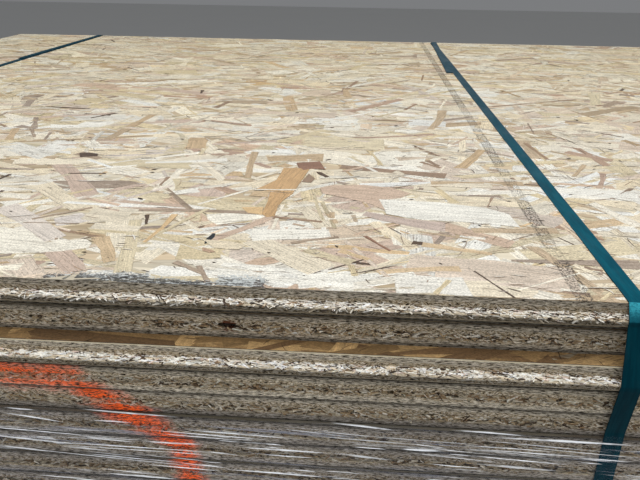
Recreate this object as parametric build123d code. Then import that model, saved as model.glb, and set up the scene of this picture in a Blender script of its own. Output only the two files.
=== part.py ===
from build123d import *
import os

# Driving dimensions, in millimetres
panelLength = 2800.0
panelWidth = 1250.0
panelThickness = 18.0
panelCount = 46
tongueLength = 8.0
tongueThickness = 4.6
tongueDrop = 1.1
tongueTopChamfer = 0.8
tongueLowChamfer = 1.4
tongueClearance = 0.3
grooveChamfer = 0.8
bearerHeight = 80.0
bearerWidth = 90.0
strapWidth = 12.0
strapThickness = 0.8
strapClearance = 0.1
strapCount = 4
strapEndDistance = 200.0
strapSlotClearance = 0.3
strapSlotMargin = 4.0
strapEndFromBack = 15.0
strapTailLengths = (390.0, 440.0, 340.0, 420.0)
strapTailDrifts = (-4.0, -11.5, -5.0, -7.0)
strapBackDrifts = (-0.7, 3.5, 1.0, 2.0)
strapFrontDrift = -2.4
strapBendReach = 0.5
weldLength = 34.0
weldFromBack = 95.0
filmThickness = 0.3
filmClearance = 0.1
filmCorner = 1.5
filmEndClearance = 0.4
filmBottomLap = 4.0

# The panels that lie the other way round, with their tongues on the -Y side
tongueFront = (1, 3)

# How far the front face of each panel stands out from the top panel's face
topSetOut = (0.0, 0.7, 12.9, 12.0, 10.6, 13.0, 12.1, 12.9)
lowerSetOut = (12.4, 11.6, 12.8, 12.2, 11.2, 12.6, 13.0, 12.0, 11.8, 12.5, 12.9, 11.5)

# How far each panel is shifted along the pack
endShift = (0.0, 1.5, -2.0, 0.8, 2.2, -1.0, 0.4, -1.8, 1.1, -0.6, 1.9, -1.4, 0.2)

# The film starts part way down this panel
filmTopPanel = 5
filmTopShare = 0.78


def setOut(index):
    if index <= len(topSetOut):
        return topSetOut[index - 1]
    return lowerSetOut[index % len(lowerSetOut)]


def shiftAlong(index):
    return endShift[(index - 1) % len(endShift)]


packHeight = bearerHeight + panelCount * panelThickness
filmTopDrop = (filmTopPanel - 1 + filmTopShare) * panelThickness
strapPullDrop = filmTopDrop - 2.0
spacing = (panelLength - 2.0 * strapEndDistance) / (strapCount - 1)
strapCentres = [-panelLength / 2.0 + strapEndDistance + k * spacing for k in range(strapCount)]

# Levels of the tongue below a panel's upper face
tongueTop = (panelThickness - tongueThickness) / 2.0 + tongueDrop
tongueLow = tongueTop + tongueThickness
topLip = tongueTop + tongueTopChamfer
lowLip = tongueLow - tongueLowChamfer
grooveTop = tongueTop - tongueClearance
grooveLow = tongueLow + tongueClearance
grooveDepth = tongueLength + 2.0 * tongueClearance

# Outermost faces and tongues, from the top panel's front face
wrapped = range(filmTopPanel, panelCount + 1)
tipFront = -setOut(3) - tongueLength
tipBack = panelWidth - setOut(2) + tongueLength
wrapFront = -max(setOut(i) for i in wrapped) - strapClearance
wrapBack = panelWidth - min(setOut(i) for i in wrapped) + tongueLength + strapClearance
band = strapClearance + strapThickness
middleY = (tipFront - band + tipBack + band) / 2.0


def prismAlongX(points, length):
    face = Face(Wire.make_polygon([Vector(0, y, z) for (y, z) in points], close=True))
    solid = extrude(face, amount=length, dir=(1, 0, 0))
    return solid.moved(Location((-length / 2.0, 0, 0)))


def prismAlongY(points, length):
    face = Face(Wire.make_polygon([Vector(x, 0, z) for (x, z) in points], close=True))
    solid = extrude(face, amount=length, dir=(0, 1, 0))
    return solid.moved(Location((0, -length / 2.0, 0)))


# Milled edge profiles: u outward from the panel's face, z up from its top
upperRebate = [
    (0.0, 1.0),
    (0.0, -tongueTop),
    (tongueLength - tongueTopChamfer, -tongueTop),
    (tongueLength, -topLip),
    (tongueLength + 2.0, -topLip),
    (tongueLength + 2.0, 1.0),
]
lowerRebate = [
    (0.0, -panelThickness - 1.0),
    (0.0, -tongueLow),
    (tongueLength - tongueLowChamfer, -tongueLow),
    (tongueLength, -lowLip),
    (tongueLength + 2.0, -lowLip),
    (tongueLength + 2.0, -panelThickness - 1.0),
]
grooveProfile = [
    (1.0, -grooveTop),
    (-grooveDepth + grooveChamfer, -grooveTop),
    (-grooveDepth, -grooveTop - grooveChamfer),
    (-grooveDepth, -grooveLow + grooveChamfer),
    (-grooveDepth + grooveChamfer, -grooveLow),
    (1.0, -grooveLow),
]


def shifted(points, offset, sign):
    return [(offset + sign * u, z) for (u, z) in points]


# One board, its upper face at z = 0, tongues on +Y and +X, grooves on -Y and -X
blank = Box(panelLength + tongueLength, panelWidth + tongueLength, panelThickness)
blank = blank.moved(Location((tongueLength / 2.0, tongueLength / 2.0, -panelThickness / 2.0)))
longRun = panelLength + 60.0
shortRun = panelWidth + 60.0
board = blank
board = board - prismAlongX(shifted(upperRebate, panelWidth / 2.0, 1.0), longRun)
board = board - prismAlongX(shifted(lowerRebate, panelWidth / 2.0, 1.0), longRun)
board = board - prismAlongY(shifted(upperRebate, panelLength / 2.0, 1.0), shortRun)
board = board - prismAlongY(shifted(lowerRebate, panelLength / 2.0, 1.0), shortRun)
board = board - prismAlongX(shifted(grooveProfile, -panelWidth / 2.0, -1.0), longRun)
board = board - prismAlongY(shifted(grooveProfile, -panelLength / 2.0, -1.0), shortRun)

parts = {}
for index in range(1, panelCount + 1):
    turned = board
    if index in tongueFront:
        turned = board.moved(Location((0, 0, 0), (0, 0, 180)))
    centreY = panelWidth / 2.0 - setOut(index) - middleY
    topZ = packHeight - (index - 1) * panelThickness
    parts["panel_%02d" % index] = turned.moved(Location((shiftAlong(index), centreY, topZ)))

# Timber bearers with a shallow slot in the underside for the strap
slotDepth = band + strapSlotClearance + strapClearance
slotWidth = strapWidth + 2.0 * strapSlotMargin
bearerMiddle = panelWidth / 2.0 - setOut(panelCount) - middleY
for number, centreX in enumerate(strapCentres, start=1):
    block = Box(bearerWidth, panelWidth, bearerHeight)
    block = block.moved(Location((centreX, bearerMiddle, bearerHeight / 2.0)))
    slot = Box(slotWidth, panelWidth + 10.0, 2.0 * slotDepth)
    slot = slot.moved(Location((centreX + strapFrontDrift, bearerMiddle, 0)))
    parts["bearer_%d" % number] = block - slot


# Straps: one flat band, laid as a closed run with a welded, overlapping tail.
# Each point is (sideways drift, y from the top panel's face, z) of the band's
# inner surface.
def strapRun(tailLength, tailDrift, backDrift):
    c = strapClearance
    d = strapFrontDrift
    top = packHeight
    second = top - panelThickness
    third = top - 2.0 * panelThickness
    pull = top - strapPullDrop
    low = slotDepth - strapSlotClearance
    return [
        (0.0, panelWidth - strapEndFromBack, top + c),
        (0.0, -c, top + c),
        (0.45 * d, -tongueLength - c, top - topLip + c),
        (0.5 * d, -tongueLength - c, top - lowLip),
        (1.35 * d, tipFront - c, third - topLip),
        (1.45 * d, tipFront - c, third - lowLip),
        (0.9 * d, wrapFront - c, pull),
        (1.2 * d, wrapFront - c, low),
        (1.1 * d, wrapBack + c, low),
        (0.9 * d, wrapBack + c, pull),
        (0.5 * d, tipBack + c, second - lowLip),
        (0.45 * d, tipBack + c, second - topLip),
        (backDrift, panelWidth + c, top + band + c),
        (tailDrift, panelWidth - tailLength, top + band + c),
    ]


def roundedRun(points, radius, steps):
    out = [points[0]]
    for i in range(1, len(points) - 1):
        p = Vector(*points[i])
        a = Vector(*points[i - 1]) - p
        b = Vector(*points[i + 1]) - p
        reach = min(radius, 0.4 * a.length, 0.4 * b.length)
        start = p + a.normalized() * reach
        end = p + b.normalized() * reach
        for k in range(steps + 1):
            t = k / steps
            q = start * ((1 - t) ** 2) + p * (2 * t * (1 - t)) + end * (t * t)
            out.append((q.X, q.Y, q.Z))
    out.append(points[-1])
    return out


def bandSolid(centreX, run):
    count = len(run)
    inner = []
    outer = []
    for i in range(count):
        before = run[max(i - 1, 0)]
        here = run[i]
        after = run[min(i + 1, count - 1)]
        normals = []
        for (p, q) in ((before, here), (here, after)):
            dy = q[1] - p[1]
            dz = q[2] - p[2]
            size = (dy * dy + dz * dz) ** 0.5
            if size > 1e-9:
                normals.append((dz / size, -dy / size))
        ny = sum(n[0] for n in normals)
        nz = sum(n[1] for n in normals)
        size = (ny * ny + nz * nz) ** 0.5
        ny /= size
        nz /= size
        spread = ny * normals[0][0] + nz * normals[0][1]
        reach = strapThickness / spread
        inner.append((here[0], here[1] - middleY, here[2]))
        outer.append((here[0], here[1] - middleY + ny * reach, here[2] + nz * reach))
    left = centreX - strapWidth / 2.0
    right = centreX + strapWidth / 2.0

    def corner(points, i, side):
        dx, y, z = points[i]
        return Vector(side + dx, y, z)

    faces = []

    def addFace(corners):
        faces.append(Face(Wire.make_polygon(corners, close=True)))

    for i in range(count - 1):
        j = i + 1
        for points in (inner, outer):
            addFace([corner(points, i, left), corner(points, i, right),
                     corner(points, j, right), corner(points, j, left)])
        for side in (left, right):
            addFace([corner(inner, i, side), corner(inner, j, side), corner(outer, i, side)])
            addFace([corner(outer, i, side), corner(inner, j, side), corner(outer, j, side)])
    for i in (0, count - 1):
        addFace([corner(inner, i, left), corner(inner, i, right),
                 corner(outer, i, right), corner(outer, i, left)])
    return Solid(Shell(faces))


for number, centreX in enumerate(strapCentres, start=1):
    tail = strapTailLengths[(number - 1) % len(strapTailLengths)]
    drift = strapTailDrifts[(number - 1) % len(strapTailDrifts)]
    backDrift = strapBackDrifts[(number - 1) % len(strapBackDrifts)]
    run = roundedRun(strapRun(tail, drift, backDrift), strapBendReach, 3)
    weldY = panelWidth - weldFromBack - middleY
    weldZ = packHeight + band + strapClearance / 2.0
    weld = Box(0.6 * strapWidth, weldLength, 0.6 * strapThickness)
    weld = weld.moved(Location((centreX + 0.5 * backDrift, weldY, weldZ)))
    parts["strap_%d" % number] = bandSolid(centreX, run) + weld

# Stretch film wound round the lower part of the pack, outside the straps
filmFront = wrapFront - band - filmClearance - middleY
filmBack = wrapBack + band + filmClearance - middleY
furthest = max(abs(shiftAlong(i)) for i in wrapped)
filmEnd = panelLength / 2.0 + tongueLength + furthest + filmEndClearance
filmBottom = bearerHeight + filmBottomLap
filmHeight = packHeight - filmTopDrop - filmBottom
inside = Box(2.0 * filmEnd, filmBack - filmFront, filmHeight + 10.0)
inside = fillet(inside.edges().filter_by(Axis.Z), filmCorner)
outside = Box(2.0 * (filmEnd + filmThickness), filmBack - filmFront + 2.0 * filmThickness, filmHeight)
outside = fillet(outside.edges().filter_by(Axis.Z), filmCorner + filmThickness)
hoop = outside - inside
hoop = hoop.moved(Location((0, (filmFront + filmBack) / 2.0, filmBottom + filmHeight / 2.0)))
parts["stretch_film"] = hoop

os.makedirs("parts", exist_ok=True)
for name, shape in parts.items():
    solids = shape.solids()
    shape = solids[0] if len(solids) == 1 else Compound(children=list(solids))
    export_step(shape, os.path.join("parts", name + ".step"))
    print(name, len(solids), "solid, valid", shape.is_valid, "volume", round(shape.volume))
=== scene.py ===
import bpy
import math
import random
import numpy as np
from mathutils import Matrix, Vector


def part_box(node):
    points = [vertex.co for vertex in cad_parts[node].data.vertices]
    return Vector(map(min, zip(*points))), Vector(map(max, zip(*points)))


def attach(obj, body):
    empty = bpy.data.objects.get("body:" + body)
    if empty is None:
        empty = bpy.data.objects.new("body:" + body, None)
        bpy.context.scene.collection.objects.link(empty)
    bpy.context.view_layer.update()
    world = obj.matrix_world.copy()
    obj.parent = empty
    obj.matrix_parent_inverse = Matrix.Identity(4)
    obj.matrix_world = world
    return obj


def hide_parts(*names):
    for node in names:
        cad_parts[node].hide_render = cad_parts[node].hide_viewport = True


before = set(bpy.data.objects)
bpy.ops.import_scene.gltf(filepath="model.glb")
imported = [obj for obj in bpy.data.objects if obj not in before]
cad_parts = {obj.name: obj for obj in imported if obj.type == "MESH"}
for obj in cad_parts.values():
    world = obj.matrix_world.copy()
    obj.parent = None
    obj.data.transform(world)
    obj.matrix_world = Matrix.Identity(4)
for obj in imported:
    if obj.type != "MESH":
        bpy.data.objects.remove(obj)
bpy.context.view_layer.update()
print("frame loaded")

# Sizes and places that the pieces share, in metres
pack = {
    "top": 0.908,
    "thickness": 0.018,
    "frontFace": -0.6182,
    "backFace": 0.6318,
    "leftEnd": -1.400,
    "rightEnd": 1.400,
    "tongueLength": 0.008,
    "thirdOut": 0.0129,
    "topTip": -0.6255,
    "thirdTip": -0.6384,
    "panels": 46,
    "straps": (-1.2, -0.4, 0.4, 1.2),
    "filmTop": 0.822,
    "filmBottom": 0.084,
}


def toLinear(rgb):
    out = []
    for value in rgb:
        v = value / 255.0
        out.append(v / 12.92 if v <= 0.04045 else ((v + 0.055) / 1.055) ** 2.4)
    return tuple(out)


# Small helpers for building node trees
def newMaterial(name):
    material = bpy.data.materials.new(name)
    material.use_nodes = True
    tree = material.node_tree
    tree.nodes.clear()
    output = tree.nodes.new("ShaderNodeOutputMaterial")
    shader = tree.nodes.new("ShaderNodeBsdfPrincipled")
    tree.links.new(shader.outputs["BSDF"], output.inputs["Surface"])
    return material, tree, shader


def addNode(tree, kind, inputs=None, **settings):
    node = tree.nodes.new(kind)
    for key, value in settings.items():
        setattr(node, key, value)
    for key, value in (inputs or {}).items():
        if isinstance(value, bpy.types.NodeSocket):
            tree.links.new(value, node.inputs[key])
        else:
            node.inputs[key].default_value = value
    return node


def doMath(tree, operation, a, b=0.0, c=None, clamp=False):
    inputs = {0: a, 1: b}
    if c is not None:
        inputs[2] = c
    return addNode(tree, "ShaderNodeMath", inputs, operation=operation, use_clamp=clamp).outputs[0]


def plus(tree, a, b, clamp=False):
    return doMath(tree, "ADD", a, b, clamp=clamp)


def minus(tree, a, b):
    return doMath(tree, "SUBTRACT", a, b)


def times(tree, a, b):
    return doMath(tree, "MULTIPLY", a, b)


def timesPlus(tree, a, b, c):
    return doMath(tree, "MULTIPLY_ADD", a, b, c)


def mixValue(tree, factor, a, b):
    return addNode(tree, "ShaderNodeMix", {0: factor, 2: a, 3: b}, data_type="FLOAT").outputs[0]


def mixColour(tree, factor, a, b, blend="MIX"):
    a, b = [(*value, 1.0) if isinstance(value, tuple) else value for value in (a, b)]
    inputs = {0: factor, 6: a, 7: b}
    return addNode(tree, "ShaderNodeMix", inputs, data_type="RGBA", blend_type=blend).outputs[2]


def mapRange(tree, value, low, high, outLow=0.0, outHigh=1.0, kind="SMOOTHSTEP"):
    inputs = {0: value, 1: low, 2: high, 3: outLow, 4: outHigh}
    return addNode(tree, "ShaderNodeMapRange", inputs, interpolation_type=kind).outputs[0]


def falling(tree, value, low, high):
    return mapRange(tree, value, low, high, 1.0, 0.0)


def ramp(tree, value, low, high, outLow, outHigh):
    return mapRange(tree, value, low, high, outLow, outHigh, "LINEAR")


def band(tree, value, rise, fall):
    return times(tree, mapRange(tree, value, *rise), falling(tree, value, *fall))


def apart(tree, a, b):
    return doMath(tree, "ABSOLUTE", minus(tree, a, b))


def reachTo(tree, a, b):
    return doMath(tree, "SQRT", plus(tree, times(tree, a, a), times(tree, b, b)))


def scaled(tree, vector, scale, location=(0, 0, 0), turn=0.0):
    inputs = {"Vector": vector, "Scale": scale, "Location": location, "Rotation": (0, 0, turn)}
    return addNode(tree, "ShaderNodeMapping", inputs).outputs[0]


def noise(tree, vector, scale, detail, roughness, distortion=0.0):
    inputs = {"Vector": vector, "Scale": scale, "Detail": detail,
              "Roughness": roughness, "Distortion": distortion}
    return addNode(tree, "ShaderNodeTexNoise", inputs).outputs["Fac"]


def grain(tree, vector, scale, detail, roughness, location=(0, 0, 0), distortion=0.0):
    at = scaled(tree, vector, scale, location)
    return noise(tree, at, 1.0, detail, roughness, distortion)


def splitXyz(tree, vector):
    return addNode(tree, "ShaderNodeSeparateXYZ", {0: vector}).outputs


def flatPlace(tree, x, y):
    return addNode(tree, "ShaderNodeCombineXYZ", {0: x, 1: y, 2: 0.0}).outputs[0]


def objectPlace(tree):
    return addNode(tree, "ShaderNodeTexCoord").outputs["Object"]


def trueNormal(tree):
    return addNode(tree, "ShaderNodeNewGeometry").outputs["True Normal"]


def attribute(tree, name, output):
    return addNode(tree, "ShaderNodeAttribute", attribute_name=name).outputs[output]


def addBump(tree, shader, height, strength, distance):
    bump = addNode(tree, "ShaderNodeBump", {"Strength": strength, "Distance": distance, "Height": height})
    tree.links.new(bump.outputs[0], shader.inputs["Normal"])


def multiplied(tree, colour, tone):
    grey = addNode(tree, "ShaderNodeCombineColor", {0: tone, 1: tone, 2: tone}).outputs[0]
    return mixColour(tree, 1.0, colour, grey, "MULTIPLY")


def newGroup(name, inputs, outputs):
    group = bpy.data.node_groups.new(name, "ShaderNodeTree")
    for label, given in inputs.items():
        kind = given if isinstance(given, str) else "Float"
        socket = group.interface.new_socket(label, in_out="INPUT", socket_type="NodeSocket" + kind)
        if kind == "Float":
            socket.default_value = given
    for label, kind in outputs.items():
        group.interface.new_socket(label, in_out="OUTPUT", socket_type="NodeSocket" + kind)
    first = group.nodes.new("NodeGroupInput")
    group.nodes.new("NodeGroupOutput")
    return group, first.outputs


def endGroup(group, made):
    last = next(node for node in group.nodes if node.bl_idname == "NodeGroupOutput")
    for label, value in made.items():
        group.links.new(value, last.inputs[label])
    return group


def useGroup(tree, group, inputs):
    return addNode(tree, "ShaderNodeGroup", inputs, node_tree=group).outputs


# Small helpers for the modelled meshes
def newPiece(name, points, faces, material):
    mesh = bpy.data.meshes.new(name)
    mesh.from_pydata(points, [], faces)
    mesh.materials.append(material)
    obj = bpy.data.objects.new(name, mesh)
    bpy.context.scene.collection.objects.link(obj)
    return obj


def setValues(mesh, name, values):
    layer = mesh.attributes.new(name, "FLOAT", "POINT")
    layer.data.foreach_set("value", values)


def setTints(mesh, tints):
    layer = mesh.attributes.new("tint", "FLOAT_COLOR", "CORNER")
    rgba = np.insert(np.asarray(tints, dtype=np.float32), 3, 1.0, axis=1)
    layer.data.foreach_set("color", rgba.ravel())


def turned(x, y, along, side, angle):
    c, s = math.cos(angle), math.sin(angle)
    return x + along * c - side * s, y + along * s + side * c


# Shared effects
def makeMottleGroup():
    group, ins = newGroup("handlingMottle", {"Vector": "Vector", "Scale": 6.0}, {"Mottle": "Float"})
    return endGroup(group, {"Mottle": noise(group, ins["Vector"], ins["Scale"], 4.0, 0.6)})


handlingMottle = makeMottleGroup()


# Strand wood, for the flakes that make the faces of the board
strandLook = {
    "roughness": 0.72,
    "fibreDepth": 0.25,
    "ringDepth": 0.10,
    "lineStrength": 0.50,
    "speckStrength": 0.56,
    "rimShade": 0.42,
    "bump": 0.6,
    "deep": (100, 80, 58),
}


def makeStrandGroup():
    group, ins = newGroup("pressedStrand",
                          {"Tint": "Color", "Rim": 1.0, "Grain": "Vector", "Place": "Vector"},
                          {"Color": "Color", "Height": "Float", "Cover": "Float"})
    split = splitXyz(group, ins["Grain"])
    bend = grain(group, ins["Grain"], (7, 22, 1), 1.0, 0.5)
    flat = flatPlace(group, split[0], timesPlus(group, bend, 0.012, split[1]))
    fibre = grain(group, flat, (24, 1450, 1), 2.0, 0.6)
    rings = grain(group, flat, (9, 300, 1), 2.0, 0.55)
    lines = grain(group, flat, (18, 820, 1), 3.0, 0.65)
    specks = grain(group, flat, (190, 640, 1), 2.0, 0.65)
    patches = grain(group, ins["Place"], (14, 14, 14), 2.0, 0.5)
    depth = strandLook["fibreDepth"]
    tone = ramp(group, fibre, 0.3, 0.7, 1.0 - depth, 1.0 + 0.6 * depth)
    depth = strandLook["ringDepth"]
    tone = times(group, tone, mapRange(group, rings, 0.42, 0.68, 1.0 + 0.3 * depth, 1.0 - depth))
    torn = grain(group, flat, (130, 900, 1), 2.0, 0.6)
    rim = timesPlus(group, minus(group, torn, 0.5), 1.5, ins["Rim"])
    cover = mapRange(group, rim, 0.28, 0.40)
    ragged = grain(group, ins["Place"], (110, 110, 110), 2.0, 0.6)
    rimTone = mapRange(group, rim, 0.30, 0.75, strandLook["rimShade"], 1.0)
    rimTone = doMath(group, "MAXIMUM", rimTone, falling(group, ragged, 0.48, 0.58))
    tone = times(group, tone, rimTone)
    cloud = grain(group, ins["Place"], (45, 70, 45), 3.0, 0.6)
    tone = times(group, tone, ramp(group, cloud, 0.3, 0.7, 0.90, 1.08))
    grit = grain(group, ins["Place"], (700, 900, 700), 2.0, 0.7)
    tone = times(group, tone, ramp(group, grit, 0.32, 0.68, 0.70, 1.23))
    colour = multiplied(group, ins["Tint"], tone)
    often = mapRange(group, patches, 0.42, 0.60, 0.3, 1.0)
    shown = times(group, mapRange(group, lines, 0.57, 0.65), often)
    shown = times(group, shown, strandLook["lineStrength"])
    colour = mixColour(group, shown, colour, toLinear(strandLook["deep"]))
    crowd = mapRange(group, patches, 0.42, 0.62, 0.0, 0.05)
    shown = mapRange(group, plus(group, specks, crowd), 0.64, 0.70)
    shown = times(group, shown, strandLook["speckStrength"])
    colour = mixColour(group, shown, colour, toLinear(strandLook["deep"]))
    height = minus(group, times(group, fibre, 0.7), times(group, mapRange(group, lines, 0.58, 0.72), 0.35))
    height = minus(group, height, times(group, mapRange(group, specks, 0.62, 0.7), 0.4))
    return endGroup(group, {"Color": colour, "Height": height, "Cover": cover})


pressedStrand = makeStrandGroup()


def makeStrandMaterial(name, marks):
    material, tree, shader = newMaterial(name)
    tint = attribute(tree, "tint", "Color")
    rim = attribute(tree, "rim", "Fac")
    flakeAt = addNode(tree, "ShaderNodeUVMap", uv_map="grain").outputs[0]
    place = objectPlace(tree)
    made = useGroup(tree, pressedStrand, {"Tint": tint, "Rim": rim, "Grain": flakeAt, "Place": place})
    colour = made["Color"]
    if marks:
        colour = topMarks(tree, place, colour)
    tree.links.new(colour, shader.inputs["Base Color"])
    tree.links.new(made["Cover"], shader.inputs["Alpha"])
    shader.inputs["Roughness"].default_value = strandLook["roughness"]
    shader.inputs["Specular IOR Level"].default_value = 0.3
    addBump(tree, shader, made["Height"], strandLook["bump"], 0.0005)
    return material


# Marks on the top board: rubbed edge scuffs, a faint speckled roller line.
# Each scuff patch has its middle in X, half length, reach inward and strength
scuffMarks = {
    "dark": (42, 46, 52),
    "pale": (190, 195, 194),
    "patches": ((-0.750, 0.012, 0.010, 0.85), (-0.728, 0.016, 0.013, 1.0), (-0.706, 0.014, 0.015, 1.05),
                (-0.684, 0.016, 0.009, 0.95), (-0.664, 0.012, 0.007, 0.9), (-0.637, 0.0185, 0.0175, 1.05)),
}
rollerLine = {
    "x": -0.4306,
    "y": -0.57,
    "slant": 0.0040,
    "half": 0.0051,
    "colour": (74, 68, 62),
}


def topMarks(tree, place, colour):
    split = splitXyz(tree, place)
    x, y = split[0], split[1]
    grit = grain(tree, place, (430, 520, 1), 3.0, 0.7)
    hatch = grain(tree, place, (150, 640, 1), 2.0, 0.65, (0.3, 0.1, 0))
    inward = minus(tree, y, pack["frontFace"])
    mask = None
    for centre, half, reach, strength in scuffMarks["patches"]:
        away = apart(tree, x, centre)
        one = mapRange(tree, away, half * 0.6, half * 1.12, strength, 0.0)
        one = times(tree, one, falling(tree, inward, reach * 0.3, reach * 1.2))
        mask = one if mask is None else doMath(tree, "MAXIMUM", mask, one)
    torn = timesPlus(tree, minus(tree, grit, 0.5), 2.9, mask)
    shown = times(tree, mapRange(tree, torn, 0.38, 0.62), mapRange(tree, mask, 0.02, 0.15))
    tone = timesPlus(tree, inward, 7.0, hatch)
    tone = plus(tree, tone, mapRange(tree, x, -0.662, -0.650, -0.09, 0.0))
    tone = plus(tree, tone, mapRange(tree, x, -0.634, -0.620, 0.0, -0.06))
    tone = mapRange(tree, timesPlus(tree, grit, 0.9, tone), 0.90, 1.06)
    scuff = mixColour(tree, tone, toLinear(scuffMarks["dark"]), toLinear(scuffMarks["pale"]))
    colour = mixColour(tree, times(tree, shown, 0.88), colour, scuff)
    slant = rollerLine["slant"]
    shift = timesPlus(tree, y, slant, rollerLine["x"] - rollerLine["y"] * slant)
    away = apart(tree, x, shift)
    half = rollerLine["half"]
    line = falling(tree, away, half * 0.88, half * 1.12)
    dots = grain(tree, place, (820, 520, 1), 1.0, 0.5)
    dots = plus(tree, dots, mapRange(tree, away, half * 0.5, half * 0.9, 0.0, 0.06))
    line = times(tree, line, mapRange(tree, dots, 0.50, 0.56, 0.09, 0.86))
    broken = grain(tree, place, (4, 26, 1), 2.0, 0.6)
    line = times(tree, line, mapRange(tree, broken, 0.36, 0.54, 0.45, 1.0))
    colour = mixColour(tree, line, colour, toLinear(rollerLine["colour"]))
    warmer = mixColour(tree, 1.0, colour, (1.0, 0.97, 0.87), "MULTIPLY")
    return mixColour(tree, mapRange(tree, y, -0.4, 0.4), colour, warmer)


# Milled board edges: flat surface strands above and below, crossed chips in the core
edgeLook = {
    "light": (250, 240, 222),
    "mid": (194, 182, 160),
    "warm": (194, 174, 140),
    "dark": (50, 41, 33),
    "fresh": (206, 192, 166),
    # arrisHighlight: colour of the painted highlight on a board's lit upper edge
    "arrisHighlight": (250, 238, 208),
    "pit": (44, 32, 24),
    "roughness": 0.85,
    "bump": 0.7,
}


def makeEdgeGroup():
    group, ins = newGroup("milledEdge", {"Vector": "Vector", "Depth": 0.5},
                          {"Color": "Color", "Height": "Float"})
    split = splitXyz(group, ins["Vector"])
    run = plus(group, split[0], split[1])
    wander = minus(group, grain(group, ins["Vector"], (28, 28, 40), 2.0, 0.5), 0.5)
    lift = timesPlus(group, wander, 0.007, split[2])
    flat = flatPlace(group, run, lift)
    fine = grain(group, flat, (230, 1500, 1), 3.0, 0.72)
    picked = None
    for turn, place in ((0.45, (3.1, 1.7, 0)), (-0.5, (7.7, 5.2, 0)), (0.08, (1.3, 9.1, 0))):
        bent = scaled(group, flat, (1, 1, 1), place, turn)
        chips = grain(group, bent, (330, 1250, 1), 3.0, 0.7)
        if picked is None:
            picked = chips
            continue
        choose = grain(group, flat, (120, 200, 1), 1.0, 0.5, place)
        picked = mixValue(group, mapRange(group, choose, 0.46, 0.54), picked, chips)
    depth = plus(group, ins["Depth"], times(group, wander, 0.25))
    core = band(group, depth, (0.22, 0.30), (0.72, 0.80))
    tone = mixValue(group, core, fine, picked)
    low = mapRange(group, tone, 0.415, 0.475)
    high = mapRange(group, tone, 0.515, 0.565)
    mid = mixColour(group, core, toLinear(edgeLook["mid"]), toLinear(edgeLook["warm"]))
    colour = mixColour(group, low, toLinear(edgeLook["dark"]), mid)
    colour = mixColour(group, high, colour, toLinear(edgeLook["light"]))
    # Pits: painted shade in small holes, mostly in the core, darkened to the pit colour and dipped in the
    # bump
    pits = grain(group, flat, (420, 900, 1), 1.0, 0.5, (2.2, 4.4, 0))
    hole = falling(group, pits, 0.28, 0.35)
    hole = times(group, hole, timesPlus(group, core, 0.6, 0.4))
    colour = mixColour(group, times(group, hole, 0.8), colour, toLinear(edgeLook["pit"]))
    height = minus(group, tone, times(group, hole, 0.5))
    return endGroup(group, {"Color": colour, "Height": height})


milledEdge = makeEdgeGroup()


# Faces of boards that carry no modelled flakes
def makeFlakeFieldGroup():
    group, ins = newGroup("pressedFlakes", {"Vector": "Vector"}, {"Color": "Color", "Height": "Float"})
    colour = None
    height = None
    tints = ((178, 160, 132), (204, 192, 164), (212, 202, 180), (198, 180, 152))
    for layer, (turn, tint) in enumerate(zip((0.1, 0.9, -0.5, -0.2), tints)):
        bent = scaled(group, ins["Vector"], (11, 62, 1), (layer * 3.3, layer * 1.9, 0), turn)
        cells = addNode(group, "ShaderNodeTexVoronoi", {"Vector": bent, "Scale": 1.0})
        pick = addNode(group, "ShaderNodeSeparateColor", {0: cells.outputs["Color"]}).outputs
        fibre = grain(group, bent, (2.0, 16.0, 1.0), 2.0, 0.6)
        tone = plus(group, ramp(group, fibre, 0.3, 0.7, -0.12, 0.12),
                    ramp(group, pick[1], 0.0, 1.0, 0.78, 1.12))
        shade = multiplied(group, toLinear(tint), tone)
        shown = mapRange(group, pick[0], 0.48, 0.50)
        colour = shade if colour is None else mixColour(group, shown, colour, shade)
        level = times(group, pick[2], 0.6)
        height = level if height is None else mixValue(group, shown, height, level)
    return endGroup(group, {"Color": colour, "Height": height})


pressedFlakes = makeFlakeFieldGroup()

# A sprayed stroke: its path has X, Z and half width at each point
sprayMark = {
    "bright": (252, 98, 32),
    "deep": (88, 36, 15),
    # glow and glowStrength: a painted glow on the raised paint, brightening it beyond what the lamps give
    "glow": (1.0, 0.11, 0.004),
    "glowStrength": 0.31,
    "betweenZ": 0.8436,
    "lowestPanel": 11,
    "path": ((-0.950, 0.8480, 0.0100), (-0.790, 0.8455, 0.0095), (-0.745, 0.8425, 0.0095),
             (-0.721, 0.8242, 0.0098), (-0.692, 0.8062, 0.0084), (-0.6765, 0.7910, 0.0090),
             (-0.6735, 0.7700, 0.0095), (-0.676, 0.7450, 0.0090), (-0.680, 0.730, 0.0060)),
}


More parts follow.
